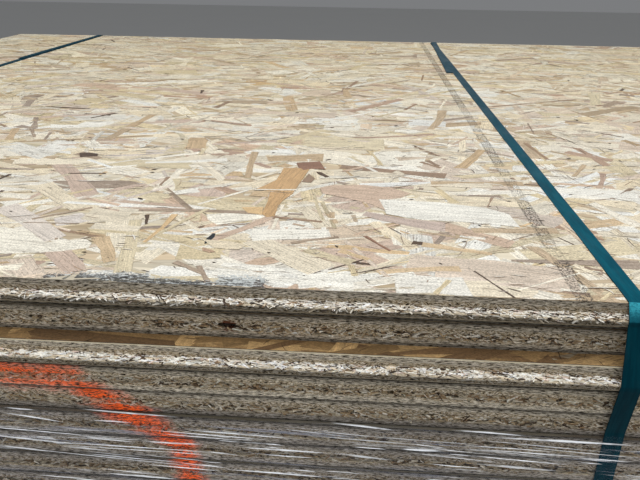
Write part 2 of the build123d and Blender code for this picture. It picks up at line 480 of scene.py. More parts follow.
def makeSprayGroup():
    group, ins = newGroup("sprayPaint",
                          {"Vector": "Vector", "Relief": 0.5, "Fresh": 0.0, "Strength": 1.0},
                          {"Mask": "Float", "Paint": "Color", "Glow": "Color"})
    split = splitXyz(group, ins["Vector"])
    x, y, z = split[0], split[1], split[2]
    nearest = None
    points = sprayMark["path"]
    for (x0, z0, r0), (x1, z1, r1) in zip(points[:-1], points[1:]):
        dx, dz = x1 - x0, z1 - z0
        squared = dx * dx + dz * dz
        t = plus(group, times(group, minus(group, x, x0), dx / squared),
                 times(group, minus(group, z, z0), dz / squared), clamp=True)
        px = minus(group, x, timesPlus(group, t, dx, x0))
        pz = minus(group, z, timesPlus(group, t, dz, z0))
        away = reachTo(group, px, pz)
        reach = timesPlus(group, t, r1 - r0, r0)
        ratio = doMath(group, "DIVIDE", away, reach)
        nearest = ratio if nearest is None else doMath(group, "MINIMUM", nearest, ratio)
    mist = grain(group, ins["Vector"], (260, 260, 700), 4.0, 0.78)
    cloud = grain(group, ins["Vector"], (45, 45, 90), 2.0, 0.6)
    total = timesPlus(group, mist, 1.4, nearest)
    total = timesPlus(group, cloud, 0.9, total)
    total = timesPlus(group, ins["Fresh"], 0.35, total)
    between = apart(group, z, sprayMark["betweenZ"])
    between = falling(group, between, 0.0018, 0.0044)
    between = times(group, between, falling(group, x, -0.742, -0.722))
    total = timesPlus(group, between, 0.55, total)
    mask = falling(group, total, 1.36, 2.78)
    mask = times(group, mask, falling(group, y, -0.6245, -0.6225))
    raised = mapRange(group, ins["Relief"], 0.42, 0.55)
    mask = times(group, mask, timesPlus(group, raised, 0.40, 0.60))
    mask = times(group, mask, ins["Strength"])
    paint = mixColour(group, raised, toLinear(sprayMark["deep"]), toLinear(sprayMark["bright"]))
    glow = multiplied(group, sprayMark["glow"], times(group, mask, raised))
    return endGroup(group, {"Mask": mask, "Paint": paint, "Glow": glow})


sprayPaint = makeSprayGroup()


def addPaint(tree, shader, colour, inputs):
    made = useGroup(tree, sprayPaint, inputs)
    # Painted glow: the paint on raised parts is lit from within
    tree.links.new(made["Glow"], shader.inputs["Emission Color"])
    shader.inputs["Emission Strength"].default_value = sprayMark["glowStrength"]
    return mixColour(tree, times(tree, made["Mask"], 0.97), colour, made["Paint"])


# A pit left by a torn-out knot, on the second board's edge
knotHole = {
    "x": -0.6442,
    "z": 0.8806,
    "halfLength": 0.0068,
    "halfHeight": 0.0036,
    "chipDepth": 0.0066,
    "colour": (104, 52, 28),
}


def addKnot(tree, place, colour):
    split = splitXyz(tree, place)
    x = doMath(tree, "DIVIDE", minus(tree, split[0], knotHole["x"]), knotHole["halfLength"])
    z = doMath(tree, "DIVIDE", minus(tree, split[2], knotHole["z"]), knotHole["halfHeight"])
    away = reachTo(tree, x, z)
    torn = grain(tree, place, (500, 500, 900), 3.0, 0.7)
    away = timesPlus(tree, minus(tree, torn, 0.5), 1.4, away)
    front = falling(tree, split[1], -0.60, -0.59)
    shown = times(tree, falling(tree, away, 0.85, 1.15), front)
    return mixColour(tree, times(tree, shown, 0.93), colour, toLinear(knotHole["colour"]))


# Depth runs from 0 at a board's upper face to 1 at its lower face; its tongue or groove
# lies between 0.38 and 0.74
def makeBoardMaterial(name, sprayed=False, arris="shaded", tone=1.0, low=1.0, faceShade=1.0, tip=None,
                      upper=0.075, lower=0.90, seamShade=0.3, knot=False, filmShade=0.0):
    material, tree, shader = newMaterial(name)
    place = objectPlace(tree)
    facing = splitXyz(tree, trueNormal(tree))
    level = doMath(tree, "ABSOLUTE", facing[2])
    split = splitXyz(tree, place)
    z = split[2]
    count = doMath(tree, "DIVIDE", minus(tree, pack["top"] - 0.000002, z), pack["thickness"])
    depth = doMath(tree, "FRACT", count)
    number = doMath(tree, "FLOOR", count)
    inBand = band(tree, depth, (0.38, 0.40), (0.72, 0.74))
    fresh = times(tree, inBand, mapRange(tree, level, 0.2, 0.4))
    onFace = times(tree, mapRange(tree, level, 0.80, 0.86), minus(tree, 1.0, inBand))
    ends = useGroup(tree, milledEdge, {"Vector": place, "Depth": depth})
    flakes = useGroup(tree, pressedFlakes, {"Vector": place})
    mottle = useGroup(tree, handlingMottle, {"Vector": place, "Scale": 9.0})
    shade = ramp(tree, mottle["Mottle"], 0.35, 0.65, 0.84 * tone, 1.12 * tone)
    each = addNode(tree, "ShaderNodeTexWhiteNoise", {"W": number}, noise_dimensions="1D").outputs["Value"]
    shade = times(tree, shade, ramp(tree, each, 0.0, 1.0, 0.88, 1.1))
    # Painted shade: the lowest part of each board's edge is darkened to seamShade, for the shadow in the
    # seam under it
    under = mapRange(tree, depth, lower, lower + 0.07, 1.0, seamShade)
    shade = times(tree, shade, under)
    # Painted shade at the top of the edge, under the board above: the shaded kind darkens it to 0.3 down to
    # depth upper, the plain kind to 0.66 down to 0.16
    if arris == "shaded":
        shade = times(tree, shade, mapRange(tree, depth, 0.02, upper, 0.3, 1.0))
    elif arris == "plain":
        shade = times(tree, shade, mapRange(tree, depth, 0.0, 0.16, 0.66, 1.0))
    # Painted shade under the tongue: the edge below it is darkened to low
    if low != 1.0:
        shade = times(tree, shade, mapRange(tree, depth, 0.66, 0.74, 1.0, low))
    # Painted shade under the film: the part of the board it covers is darkened by filmShade and tinted
    # cooler
    if filmShade:
        film = falling(tree, z, pack["filmTop"] - 0.002, pack["filmTop"] + 0.012)
        shade = times(tree, shade, timesPlus(tree, film, -filmShade, 1.0))
    colour = multiplied(tree, ends["Color"], shade)
    if filmShade:
        colour = mixColour(tree, film, colour, mixColour(tree, 1.0, colour, (0.95, 0.96, 1.04), "MULTIPLY"))
    # Painted highlight: a pale line along the lit upper edge of the board
    if arris == "litArris":
        litArris = grain(tree, place, (90, 90, 90), 3.0, 0.7)
        line = timesPlus(tree, litArris, 0.05, 0.022)
        line = doMath(tree, "LESS_THAN", depth, line)
        colour = mixColour(tree, times(tree, line, 0.92), colour, toLinear(edgeLook["arrisHighlight"]))
    freshTone = ramp(tree, ends["Height"], 0.35, 0.6, 0.5, 1.1)
    colour = mixColour(tree, fresh, colour, multiplied(tree, toLinear(edgeLook["fresh"]), freshTone))
    # Painted shade on the tongue's rounded tip: outside tip and below mid thickness it is darkened
    if tip is not None:
        outer = falling(tree, split[1], tip - 0.0003, tip + 0.0001)
        outer = times(tree, outer, mapRange(tree, depth, 0.45, 0.48))
        colour = multiplied(tree, colour, timesPlus(tree, outer, -0.58, 1.0))
    # Painted shade: faces of boards below the top one, shaded by the boards above, carry flakes darkened by
    # faceShade
    colour = mixColour(tree, onFace, colour, multiplied(tree, flakes["Color"], faceShade))
    if knot:
        colour = addKnot(tree, place, colour)
    if sprayed:
        rough = times(tree, ends["Height"], ramp(tree, under, 0.3, 1.0, 0.6, 1.0))
        colour = addPaint(tree, shader, colour, {"Vector": place, "Relief": rough, "Fresh": fresh})
    tree.links.new(colour, shader.inputs["Base Color"])
    shader.inputs["Roughness"].default_value = edgeLook["roughness"]
    shader.inputs["Specular IOR Level"].default_value = 0.25
    height = mixValue(tree, onFace, ends["Height"], flakes["Height"])
    addBump(tree, shader, height, edgeLook["bump"], 0.0010)
    return material


boardMaterials = {
    "top": makeBoardMaterial("osbTopBoard", arris="plain", tone=0.73, low=0.5, tip=pack["topTip"],
                             lower=0.86, seamShade=0.75),
    "second": makeBoardMaterial("osbSecondBoard", tone=0.94, upper=0.12, lower=0.83, seamShade=0.4, knot=True),
    "third": makeBoardMaterial("osbThirdBoard", arris="litArris", tone=0.83, low=0.45, faceShade=0.5,
                               tip=pack["thirdTip"], lower=0.84),
    "sprayed": makeBoardMaterial("osbSprayedBoard", sprayed=True, filmShade=0.42, faceShade=0.24,
                                 upper=0.17, lower=0.91),
    "other": makeBoardMaterial("osbBoard", faceShade=0.24, filmShade=0.42, upper=0.17, lower=0.91),
}
strandMaterial = makeStrandMaterial("osbStrands", True)
plainStrandMaterial = makeStrandMaterial("osbPlainStrands", False)
print("wood materials made")


# Straps: embossed polyester band
strapLook = {
    "colour": (0, 82, 98),
    "deep": (0, 68, 84),
    # far: colour of the painted reflection change towards the back
    "far": (14, 54, 68),
    # bend: colour of the painted highlight at the bends
    "bend": (60, 168, 186),
    "dust": (120, 150, 150),
    "roughness": 0.5,
    "pitch": 1800.0,
}


def makeStrapMaterial():
    material, tree, shader = newMaterial("strapBand")
    place = objectPlace(tree)
    split = splitXyz(tree, place)
    run = plus(tree, split[1], split[2])
    one = doMath(tree, "SINE", times(tree, plus(tree, split[0], run), strapLook["pitch"]))
    two = doMath(tree, "SINE", times(tree, minus(tree, split[0], run), strapLook["pitch"]))
    emboss = times(tree, one, two)
    drawn = grain(tree, place, (260, 30, 30), 3.0, 0.6)
    dust = grain(tree, place, (60, 25, 25), 4.0, 0.65)
    colour = mixColour(tree, mapRange(tree, drawn, 0.35, 0.65), toLinear(strapLook["deep"]),
                       toLinear(strapLook["colour"]))
    colour = mixColour(tree, mapRange(tree, dust, 0.55, 0.8, 0.0, 0.10), colour, toLinear(strapLook["dust"]))
    facing = splitXyz(tree, trueNormal(tree))[2]
    # Painted reflection change: the strap turns to the darker far colour towards the back
    away = mapRange(tree, split[1], -0.60, 0.10, 0.0, 0.8)
    colour = mixColour(tree, away, colour, toLinear(strapLook["far"]))
    # Painted shade: faces turned away from straight up are darkened, down to 0.42
    colour = multiplied(tree, colour, mapRange(tree, facing, 0.4, 0.9, 0.42, 1.0))
    # Painted highlight at the bends, brightest at the top edge and broken up by glint
    bent = band(tree, facing, (0.50, 0.60), (0.88, 0.98))
    glint = grain(tree, place, (760, 1300, 1300), 2.0, 0.6)
    bent = times(tree, bent, mapRange(tree, split[2], 0.9005, 0.9080, 0.10, 1.0))
    bent = times(tree, bent, mapRange(tree, glint, 0.36, 0.6, 0.35, 0.85))
    colour = mixColour(tree, bent, colour, toLinear(strapLook["bend"]))
    tree.links.new(colour, shader.inputs["Base Color"])
    smooth = strapLook["roughness"]
    rough = ramp(tree, dust, 0.3, 0.7, smooth - 0.06, smooth + 0.14)
    tree.links.new(rough, shader.inputs["Roughness"])
    height = plus(tree, times(tree, emboss, 0.3), drawn)
    addBump(tree, shader, height, 0.25, 0.0002)
    shader.inputs["Specular IOR Level"].default_value = 0.05
    return material


# Sawn softwood for the bearers
bearerLook = {
    "pale": (206, 176, 128),
    "ring": (160, 120, 76),
    "roughness": 0.75,
}


def makeBearerMaterial():
    material, tree, shader = newMaterial("sawnBearer")
    place = objectPlace(tree)
    rings = grain(tree, place, (55, 2.2, 55), 3.0, 0.55, distortion=0.6)
    saw = grain(tree, place, (500, 60, 500), 2.0, 0.6)
    wave = doMath(tree, "PINGPONG", times(tree, rings, 9.0), 1.0)
    colour = mixColour(tree, wave, toLinear(bearerLook["pale"]), toLinear(bearerLook["ring"]))
    colour = multiplied(tree, colour, ramp(tree, saw, 0.3, 0.7, 0.85, 1.08))
    tree.links.new(colour, shader.inputs["Base Color"])
    shader.inputs["Roughness"].default_value = bearerLook["roughness"]
    addBump(tree, shader, saw, 0.4, 0.0006)
    return material


strapMaterial = makeStrapMaterial()
bearerMaterial = makeBearerMaterial()


def dress(nodeName, material):
    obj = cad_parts[nodeName]
    obj.data.materials.clear()
    obj.data.materials.append(material)


for number in range(1, pack["panels"] + 1):
    plain = "sprayed" if number <= sprayMark["lowestPanel"] else "other"
    kind = {1: "top", 2: "second", 3: "third"}.get(number, plain)
    dress("panel_%02d" % number, boardMaterials[kind])
for number in range(1, len(pack["straps"]) + 1):
    dress("strap_%d" % number, strapMaterial)
    dress("bearer_%d" % number, bearerMaterial)
print("CAD pieces dressed")


# Flakes: a few outlines are modelled one by one, then laid down many times.
# The moves shift the corners and mid points of a unit square
def modelOutline(cuts, moves):
    bpy.ops.object.select_all(action="DESELECT")
    bpy.ops.mesh.primitive_plane_add(size=1.0)
    flake = bpy.context.object
    bpy.ops.object.mode_set(mode="EDIT")
    bpy.ops.mesh.select_all(action="SELECT")
    if cuts:
        bpy.ops.mesh.subdivide(number_cuts=cuts)
    bpy.ops.object.mode_set(mode="OBJECT")
    for (x, y), shift in moves.items():
        for vertex in flake.data.vertices:
            vertex.select = abs(vertex.co.x - x) < 0.01 and abs(vertex.co.y - y) < 0.01
        bpy.ops.object.mode_set(mode="EDIT")
        bpy.ops.mesh.select_mode(type="VERT")
        bpy.ops.transform.translate(value=(shift[0], shift[1], 0))
        bpy.ops.mesh.select_all(action="DESELECT")
        bpy.ops.object.mode_set(mode="OBJECT")
    rimVerts = [tuple(v.co[:2]) for v in flake.data.vertices if max(abs(v.co.x), abs(v.co.y)) > 0.3]
    rimVerts.sort(key=lambda p: math.atan2(p[1], p[0]))
    mesh = flake.data
    bpy.data.objects.remove(flake)
    bpy.data.meshes.remove(mesh)
    return np.array(rimVerts)


flakeOutlines = {
    "plain": modelOutline(0, {}),
    "splinter": modelOutline(0, {(0.5, 0.5): (0.0, -0.36), (-0.5, -0.5): (0.03, 0.3)}),
    "square": modelOutline(1, {(0.5, 0.0): (-0.02, 0.0), (0.0, 0.5): (0.0, 0.04)}),
    "slanted": modelOutline(1, {(0.5, 0.5): (0.06, 0.0), (0.5, -0.5): (-0.07, 0.0),
                                (-0.5, 0.5): (0.05, 0.0), (-0.5, 0.0): (0.01, 0.0)}),
    "tapered": modelOutline(1, {(0.5, 0.5): (-0.1, -0.25), (0.5, 0.0): (0.05, -0.05),
                                (0.5, -0.5): (-0.12, 0.2), (-0.5, 0.5): (0.04, -0.1)}),
    "ragged": modelOutline(1, {(0.5, 0.5): (0.04, -0.1), (0.5, 0.0): (-0.12, 0.05),
                               (-0.5, 0.0): (0.09, -0.05), (-0.5, -0.5): (-0.05, 0.12)}),
    "torn": modelOutline(1, {(0.5, 0.5): (-0.2, 0.0), (0.5, 0.0): (-0.05, -0.1),
                             (-0.5, -0.5): (0.25, 0.05), (0.0, -0.5): (0.0, 0.1)}),
}

woodTints = {
    "white": (238, 234, 221),
    "bone": (234, 227, 210),
    "cream": (226, 215, 192),
    "straw": (214, 200, 168),
    "pinkish": (217, 201, 182),
    "lilac": (219, 210, 200),
    "rose": (204, 182, 163),
    "dusky": (184, 158, 138),
    "tan": (196, 174, 144),
    "khaki": (176, 156, 128),
    "amber": (212, 187, 151),
    "orange": (203, 167, 123),
    "greyBrown": (168, 152, 136),
    "brown": (160, 136, 114),
    "redBrown": (150, 116, 96),
    "dark": (96, 80, 68),
    "slate": (48, 54, 58),
}

# The sloped rim round each flake
rimSize = {"width": 0.0009, "drop": 0.0004}


class FlakeBed:
    def __init__(self, seed, area):
        self.rng = random.Random(seed)
        self.area = area
        self.points = []
        self.faces = []
        self.tints = []
        self.uvs = []
        self.rims = []

    def inside(self, px, py):
        left, right, near, far = self.area
        return np.clip(px, left, right), np.clip(py, near, far)

    def add(self, px, py, z, x, y, angle, tint, rimWidth, tilt=(0.0, 0.0)):
        rng = self.rng
        n = len(px)
        ring = np.stack([px, py], 1)
        middle = ring.mean(axis=0)
        reach = np.linalg.norm(ring - middle, axis=1, keepdims=True)
        inner = ring - (ring - middle) / np.maximum(reach, 1e-6) * rimWidth * 1.3
        both = np.vstack([ring, inner])
        both[:, 0], both[:, 1] = self.inside(both[:, 0], both[:, 1])
        c, s = math.cos(angle), math.sin(angle)
        u = (both[:, 0] - x) * c + (both[:, 1] - y) * s
        v = -(both[:, 0] - x) * s + (both[:, 1] - y) * c
        spanU = max(np.ptp(u), 1e-6)
        spanV = max(np.ptp(v), 1e-6)
        level = z + tilt[0] * u / spanU + tilt[1] * v / spanV
        level[:n] -= rimSize["drop"]
        base = len(self.points)
        self.points.extend(zip(both[:, 0], both[:, 1], level))
        self.rims.extend([0.0] * n + [1.0] * n)
        start = (rng.uniform(0, 9), rng.uniform(0, 9))
        uv = [(a + start[0], b + start[1]) for a, b in zip(u, v)]
        for i in range(n):
            j = (i + 1) % n
            quad = (i, j, n + j, n + i)
            self.faces.append(tuple(base + k for k in quad))
            self.uvs.extend(uv[k] for k in quad)
            self.tints.extend([tint] * 4)
        top = tuple(range(n, 2 * n))
        self.faces.append(tuple(base + k for k in top))
        self.uvs.extend(uv[k] for k in top)
        self.tints.extend([tint] * n)

    def anywhere(self):
        left, right, near, far = self.area
        return self.rng.uniform(left, right), self.rng.uniform(near, far)

    def lay(self, x, y, z, length, width, angle, outline, tint, rimWidth=rimSize["width"],
            tilt=(0.0, 0.0), bend=0.0):
        rng = self.rng
        shape = flakeOutlines[outline]
        wobble = np.array([[rng.uniform(-0.04, 0.04), rng.uniform(-0.09, 0.09)] for _ in shape])
        local = (shape + wobble) * (length, width)
        local[:, 1] += bend * (local[:, 0] ** 2)
        px, py = turned(x, y, local[:, 0], local[:, 1], angle)
        self.add(px, py, z, x, y, angle, tint, min(rimWidth, 0.25 * width), tilt)

    def strip(self, x1, y1, x2, y2, w1, w2, tint, z, bow=0.0):
        rng = self.rng
        size = math.hypot(x2 - x1, y2 - y1)
        angle = math.atan2(y2 - y1, x2 - x1)
        stops = (0.0, 0.26, 0.52, 0.78, 1.0)
        side = []
        for sign, order in ((-1, stops), (1, stops[::-1])):
            for t in order:
                half = 0.5 * (w1 + (w2 - w1) * t) * rng.uniform(0.86, 1.12)
                along = t * size + rng.uniform(-0.25, 0.25) * half
                side.append((along, sign * half + bow * 4 * t * (1 - t)))
        local = np.array(side)
        px, py = turned(x1, y1, local[:, 0], local[:, 1], angle)
        self.add(px, py, z, x1, y1, angle, tint, min(rimSize["width"], 0.2 * max(w1, w2)))

    def line(self, x, y, length, width, angle, tint, z, bow=0.0):
        along = np.array((-0.5, -0.2, 0.22, 0.5, 0.18, -0.24)) * length
        side = np.array((0.0, -0.5, -0.4, 0.0, 0.5, 0.45)) * width + bow * (1 - (2 * along / length) ** 2)
        px, py = turned(x, y, along, side, angle)
        px, py = self.inside(px, py)
        start = (self.rng.uniform(0, 9), self.rng.uniform(0, 9))
        base = len(self.points)
        self.points.extend(zip(px, py, np.full(6, z)))
        self.rims.extend([1.0] * 6)
        self.faces.append(tuple(range(base, base + 6)))
        self.uvs.extend(zip(along + start[0], side + start[1]))
        self.tints.extend([tint] * 6)

    def patch(self, corners, angle, tint, z):
        points = np.array(corners) / 1000.0
        self.add(points[:, 0], points[:, 1], z, points[0, 0], points[0, 1], angle, tint, rimSize["width"])

    def finish(self, name, material):
        points = [tuple(map(float, point)) for point in self.points]
        obj = newPiece(name, points, self.faces, material)
        setValues(obj.data, "rim", self.rims)
        setTints(obj.data, self.tints)
        uvLayer = obj.data.uv_layers.new(name="grain")
        uvLayer.data.foreach_set("uv", np.array(self.uvs, dtype=np.float32).ravel())
        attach(obj, "root")
        print(name, len(self.faces), "faces")


def tinted(rng, name, spread=0.05):
    base = toLinear(woodTints[name])
    gain = 1.0 + rng.gauss(0, spread)
    warm = rng.gauss(0, 0.02)
    return (base[0] * gain * (1 + warm), base[1] * gain, base[2] * gain * (1 - 2 * warm))


def pickTint(rng, weights, spread=0.05):
    names = list(weights)
    return tinted(rng, rng.choices(names, [weights[n] for n in names])[0], spread)


topFlakes = {
    "wide": 6400,
    "widths": ((0.42, 0.005, 0.012), (0.80, 0.011, 0.024), (1.0, 0.022, 0.045)),
    "slivers": 6500,
    "aligned": 0.78,
    "spread": 0.42,
    "tints": {"white": 12, "bone": 25, "cream": 25, "straw": 12, "pinkish": 14.5,
              "rose": 6, "tan": 6.5, "amber": 0.7, "dusky": 1.8, "greyBrown": 1.1},
    # shadowLineTints: colours of the dark lines of painted shadow
    "shadowLineTints": {"greyBrown": 5, "brown": 5, "dark": 6},
    "specks": 1700,
    "speckColour": (64, 52, 44),
    "cracks": 5200,
    "sliverTints": {"white": 9, "bone": 20, "cream": 20, "straw": 14, "pinkish": 9, "rose": 6,
                    "tan": 9, "amber": 2, "greyBrown": 7, "brown": 3, "dark": 2.2},
    "highest": 0.00042,
}


def flakeAngle(rng, aligned, spread):
    if rng.random() < aligned:
        return rng.gauss(0, spread)
    return rng.uniform(-math.pi / 2, math.pi / 2)


# The flakes that stand out in the photograph, in millimetres:
# both ends of the centre line, the width at each end, tint, sideways bow
seenStrips = (
    (-851, -388, -789, -473, 17, 19, "rose", 2),
    (-846, -500, -776, -560, 20, 18, "lilac", 1),
    (-842, -447, -785, -500, 20, 17, "cream", 0),
    (-762, -534, -725, -537, 12, 12, "cream", 0),
    (-770, -577, -742, -608, 18, 14, "rose", 1),
    (-792, -590, -768, -619, 22, 26, "pinkish", 0),
    (-749, -552, -727, -592, 13, 8, "amber", 2),
    (-733, -520, -713, -606, 9, 12, "straw", 0),
    (-707, -505, -714, -560, 5, 3, "amber", 1),
    (-728, -508, -723, -527, 4, 2, "dark", 0),
    (-722, -509, -700, -504, 2, 2, "white", 0),
    (-738, -500, -640, -497, 4, 7, "greyBrown", 2),
    (-632, -503, -669, -552, 8, 7, "rose", 1),
    (-685, -588, -662, -603, 5, 4, "greyBrown", 0),
    (-668, -592, -655, -618, 4, 4, "greyBrown", 0),
    (-585, -368, -484, -388, 12, 15, "brown", -2),
    (-620, -328, -548, -352, 44, 40, "bone", 0),
    (-552, -330, -497, -338, 50, 48, "white", 0),
    (-558, -310, -545, -362, 3, 5, "straw", 2),
    (-562, -490, -500, -512, 10, 20, "rose", -3),
    (-505, -508, -458, -540, 20, 14, "rose", 0),
    (-482, -517, -418, -511, 9, 11, "tan", 0),
    (-507, -522, -498, -527, 4, 3, "greyBrown", 0),
    (-561, -534, -543, -559, 3, 2, "redBrown", 0),
    (-613, -552, -579, -538, 4, 3, "greyBrown", 1),
    (-587, -552, -530, -561, 9, 5, "amber", -1),
    (-579, -560, -557, -574, 7, 5, "amber", 0),
    (-522, -545, -474, -557, 8, 4, "amber", 0),
    (-528, -543, -519, -544, 8, 6, "dark", 0),
    (-642, -540, -585, -532, 22, 15, "white", 0),
    (-464, -566, -378, -566, 3, 14, "greyBrown", 1),
    (-589, -489, -582, -514, 9, 4, "tan", 0),
    (-570, -494, -567, -508, 5, 3, "tan", 0),
    (-604, -444, -592, -508, 3, 3, "straw", -1),
    (-498, -428, -486, -460, 8, 8, "straw", 0),
    (-453, -441, -463, -471, 3, 1, "brown", 0),
    (-491, -584, -472, -618, 1.5, 1.5, "dark", 0),
    (-553, -592, -498, -582, 6, 8, "amber", 2),
    (-531, -572, -428, -590, 22, 34, "pinkish", 0),
    (-640, -548, -588, -592, 18, 24, "cream", 0),
    (-602, -562, -568, -580, 10, 10, "straw", 0),
    (-657, -598, -565, -604, 24, 22, "white", 0),
    (-542, -604, -498, -606, 26, 24, "bone", 0),
    (-570, -582, -567, -598, 5, 5, "straw", 0),
    (-508, -598, -519, -618, 4, 4, "straw", 0),
    (-632, -503, -592, -511, 5, 4, "brown", 0),
    (-657, -350, -600, -341, 20, 26, "tan", 0),
    (-672, -328, -666, -412, 8, 6, "tan", -1),
    (-437, -294, -470, -364, 9, 12, "tan", 1),
    (-499, -340, -489, -359, 6, 4, "brown", 0),
    (-463, -312, -452, -318, 5, 3, "dark", 0),
    (-386, -250, -388, -322, 13, 14, "tan", 0),
    (-394, -424, -340, -426, 24, 30, "white", 0),
    (-392, -400, -340, -406, 5, 8, "rose", 0),
    (-345, -338, -367, -378, 5, 4, "tan", 0),
    (-503, -412, -418, -404, 14, 12, "tan", 0),
    (-847, -352, -818, -369, 14, 8, "greyBrown", 0),
    (-856, -305, -838, -327, 14, 16, "white", 0),
    (-772, -377, -694, -358, 5, 11, "white", -2),
    (-742, -278, -735, -325, 22, 24, "tan", 0),
    (-962, -252, -934, -262, 12, 9, "greyBrown", 0),
    (-943, -256, -918, -298, 6, 3, "greyBrown", 0),
    (-957, -262, -940, -312, 9, 9, "tan", 0),
    (-832, -250, -838, -300, 12, 10, "tan", 0),
    (-737, -417, -738, -441, 4, 2, "brown", 0),
    (-722, -306, -655, -286, 6, 8, "rose", 2),
    (-800, -14, -796, -40, 6, 4, "dark", 0),
    (-872, -8, -788, -42, 18, 20, "rose", 0),
    (-590, 20, -584, -38, 9, 12, "tan", 0),
    (-592, 34, -594, -4, 3, 3, "brown", 0),
    (-518, -52, -582, -132, 14, 20, "rose", 0),
    (-744, -88, -757, -130, 8, 9, "brown", 0),
    (-755, -200, -700, -214, 3, 3, "greyBrown", -3),
    (-824, -178, -832, -242, 10, 11, "tan", 0),
    (-1012, -112, -1000, -152, 11, 10, "greyBrown", 0),
    (-960, -206, -936, -262, 6, 8, "greyBrown", 0),
    (-400, -80, -322, -45, 4, 3, "greyBrown", 0),
    (-324, -46, -257, -12, 3, 3, "greyBrown", 1),
    (-280, -117, -186, -54, 18, 15, "khaki", 3),
    (-199, -15, -231, -56, 9, 12, "greyBrown", 0),
    (-322, -80, -320, -101, 6, 5, "brown", 0),
    (-322, -84, -356, -116, 3, 4, "greyBrown", 0),
    (-508, -180, -462, -186, 34, 30, "white", 0),
    (-458, -108, -484, -214, 13, 8, "tan", 4),
    (-178, 34, -160, 24, 16, 12, "greyBrown", 0),
    (-214, 44, -240, -52, 18, 16, "straw", 0),
    (-361, -168, -366, -222, 2, 2, "brown", 0),
    (-526, -88, -478, -119, 3, 4, "greyBrown", 0),
    (-1030, 10, -1060, -28, 18, 14, "pinkish", 0),
    (-351, -294, -313, -322, 13, 10, "dusky", 0),
    (-350, -271, -332, -281, 7, 5, "rose", 0),
    (-336, -364, -355, -411, 6, 5, "dusky", 1),
    (-406, -503, -364, -487, 15, 12, "amber", 0),
    (-374, -448, -353, -498, 9, 12, "bone", 0),
    (-418, -572, -407, -577, 4, 3, "brown", 0),
    (-412, -583, -407, -578, 4, 2, "greyBrown", 0),
    (-235, -62, -193, -25, 4, 5, "greyBrown", 2),
    (-273, 144, -258, 146, 6, 5, "brown", 0),
    (-351, -213, -337, -245, 2, 2, "brown", 1),
    (-579, -133, -507, -41, 9, 12, "dusky", 0),
    (-242, -55, -197, -29, 6, 8, "brown", 0),
    (-232, -97, -185, -60, 10, 12, "tan", 0),
    (-589, 14, -572, 93, 6, 6, "brown", 0),
    (-388, -79, -257, -16, 3, 3, "brown", 2),
    (-386, -263, -377, -326, 5, 4, "brown", 0),
    (-370, -289, -342, -315, 6, 8, "tan", 0),
    (-335, -277, -323, -340, 8, 10, "dusky", 0),
    (-506, -346, -488, -364, 5, 4, "brown", 0),
    (-272, -237, -262, -261, 8, 8, "khaki", 0),
    (-353, 46, -334, -5, 6, 6, "khaki", 0),
    (-316, -146, -284, -164, 5, 6, "greyBrown", 0),
    (-791, -530, -772, -516, 18, 22, "lilac", 0),
    (-774, -510, -740, -517, 26, 22, "cream", 0),
    (-431, -414, -327, -429, 8, 26, "white", 0),
)

# Flakes of odd outline: corners in millimetres, grain angle, tint
seenPatches = (
    (((-832, -541), (-804, -546), (-780, -567), (-772, -563), (-755, -558), (-749, -564), (-748, -572),
      (-764, -580), (-802, -587), (-832, -586)), -0.1, "white"),
    (((-655, -444), (-621, -449), (-612, -378), (-637, -379), (-640, -415), (-650, -436)), 1.45, "orange"),
    (((-621, -449), (-627, -466), (-630, -482), (-630, -503), (-636, -506), (-641, -499), (-640, -470),
      (-641, -447)), 1.45, "orange"),
    (((-641, -446), (-641, -461), (-658, -459), (-654, -446)), 0.1, "amber"),
    (((-641, -483), (-640, -501), (-652, -498), (-659, -486)), 0.1, "amber"),
    (((-627, -362), (-604, -355), (-597, -381), (-610, -380), (-618, -386), (-624, -376)), 0.2, "redBrown"),
    (((-612, -394), (-605, -408), (-608, -421), (-617, -419)), 1.2, "brown"),
    (((-600, -433), (-590, -425), (-562, -421), (-536, -427), (-521, -440), (-530, -452), (-548, -459),
      (-544, -483), (-555, -470), (-574, -458), (-597, -447)), -0.15, "rose"),
    (((-550, -457), (-500, -459), (-462, -469), (-447, -481), (-444, -508), (-470, -502), (-520, -499),
      (-544, -490)), -0.1, "white"),
    (((-668, -540), (-670, -539), (-673, -550), (-672, -559), (-670, -557), (-667, -546)), 1.4, "slate"),
    (((-606, -388), (-601, -389), (-592, -403), (-596, -405), (-603, -396)), -0.9, "dark"),
    (((-672, -564), (-665, -567), (-661, -571), (-665, -573), (-671, -570)), -0.5, "dusky"),
    (((-676, -551), (-655, -552), (-642, -558), (-646, -566), (-664, -565)), 0.1, "cream"),
    (((-846, -353), (-838, -349), (-826, -353), (-824, -361), (-840, -366)), -0.3, "dark"),
)


def laySeenFlakes(bed):
    rng = bed.rng
    level = pack["top"] + topFlakes["highest"] + 0.00003
    for k, (x1, y1, x2, y2, w1, w2, tint, bow) in enumerate(seenStrips):
        rise = level + 0.00004 * (k % 5) - 0.000004 * max(w1, w2)
        bed.strip(x1 / 1000, y1 / 1000, x2 / 1000, y2 / 1000, w1 / 1000, w2 / 1000,
                  tinted(rng, tint, 0.02), rise, bow / 1000)
    for k, (corners, angle, tint) in enumerate(seenPatches):
        bed.patch(corners, angle, tinted(rng, tint, 0.01), level + 0.00018 + 0.00001 * k)
    bed.strip(-0.655, -0.444, -0.618, -0.441, 0.0028, 0.0035, toLinear(woodTints["bone"]), level + 0.0004)


